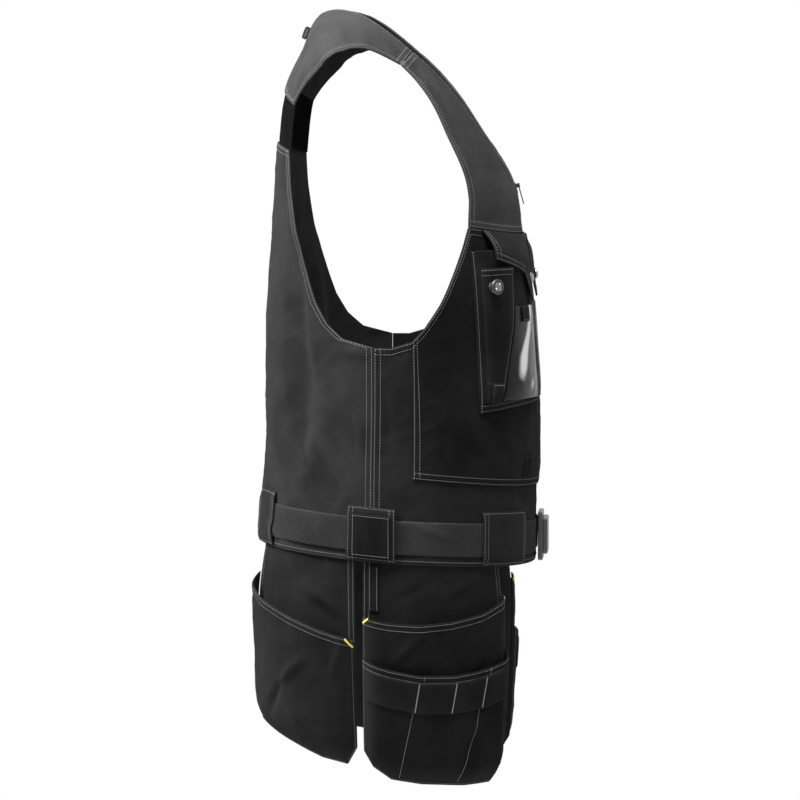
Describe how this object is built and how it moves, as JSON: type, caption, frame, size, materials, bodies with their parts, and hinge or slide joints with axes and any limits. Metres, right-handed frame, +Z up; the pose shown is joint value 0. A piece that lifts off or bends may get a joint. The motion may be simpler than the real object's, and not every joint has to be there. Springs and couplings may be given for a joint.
{
  "type": "utility work vest",
  "caption": "Sleeveless zip-front work vest with chest pockets and flaps, lower front pockets, a buckled belt through wide loops and holster pockets hanging below the hem.",
  "frame": {"origin": "the shoulder seat: the mid-line point at the height where the yoke rests on the wearer's shoulders", "axes": "+Z up, -Y towards the front of the vest, +X towards the wearer's left"},
  "size_m": [0.4562, 0.3341, 0.871],
  "materials": {
    "twill": "black cotton twill with white contrast stitching",
    "yoke_twill": "slightly washed black cotton twill",
    "heavy_twill": "dense deep black reinforcement twill",
    "knit": "matt black stretch knit",
    "tape": "black woven tape",
    "webbing": "coarse ribbed black belt webbing",
    "label": "plain black woven label",
    "vinyl": "clear flexible vinyl",
    "plastic": "black moulded acetal",
    "metal": "dull nickel plated metal"
  },
  "bodies": {
    "vest": {"back_yoke": "yoke_twill", "back_stretch_insert": "knit", "back_panel": "twill", "hanger_loop": "tape", "front_shoulder_r": "yoke_twill", "front_shoulder_l": "yoke_twill", "front_panel_r": "twill", "front_panel_l": "twill", "front_pocket_r": "heavy_twill", "front_pocket_l": "heavy_twill", "pocket_label_r": "label", "chest_pocket_r": "heavy_twill", "chest_pocket_l": "heavy_twill", "chest_flap_r": "twill", "chest_flap_l": "twill", "flap_stud_r": "metal", "flap_stud_l": "metal", "pen_pocket_r": "heavy_twill", "pen_pocket_l": "heavy_twill", "tool_button_r": "metal", "tool_button_l": "metal", "pen_loop_r": "tape", "pen_loop_l": "tape", "id_window_r": "vinyl", "id_window_l": "vinyl", "id_tab_r": "tape", "id_tab_l": "tape", "zip_tape_r": "tape", "zip_tape_l": "tape", "zip_teeth": "plastic", "zip_slider": "metal", "belt_webbing": "webbing", "back_loop_r": "twill", "back_loop_l": "twill", "side_loop_r": "twill", "side_loop_l": "twill", "side_loop_patch_r": "heavy_twill", "side_loop_patch_l": "heavy_twill", "front_loop_r": "twill", "front_loop_l": "twill", "buckle_socket": "plastic", "buckle_plug": "plastic", "holster_rear_back_r": "twill", "holster_rear_back_l": "twill", "holster_rear_pocket_r": "twill", "holster_rear_pocket_l": "twill", "holster_front_back_r": "twill", "holster_front_back_l": "twill", "holster_front_upper_r": "heavy_twill", "holster_front_upper_l": "heavy_twill", "holster_front_lower_r": "heavy_twill", "holster_front_lower_l": "heavy_twill", "holster_strip_r": "webbing", "holster_strip_l": "webbing", "holster_strap_r": "tape", "holster_strap_l": "tape"},
    "pull": {"zip_pull": "metal"}
  },
  "joints": [
    {"name": "pull_swing", "type": "hinge", "parent": "vest", "child": "pull", "pos_m": [0, -0.17611, -0.16702], "axis": [-1, 0, 0], "range_deg": [0, 150]}
  ]
}
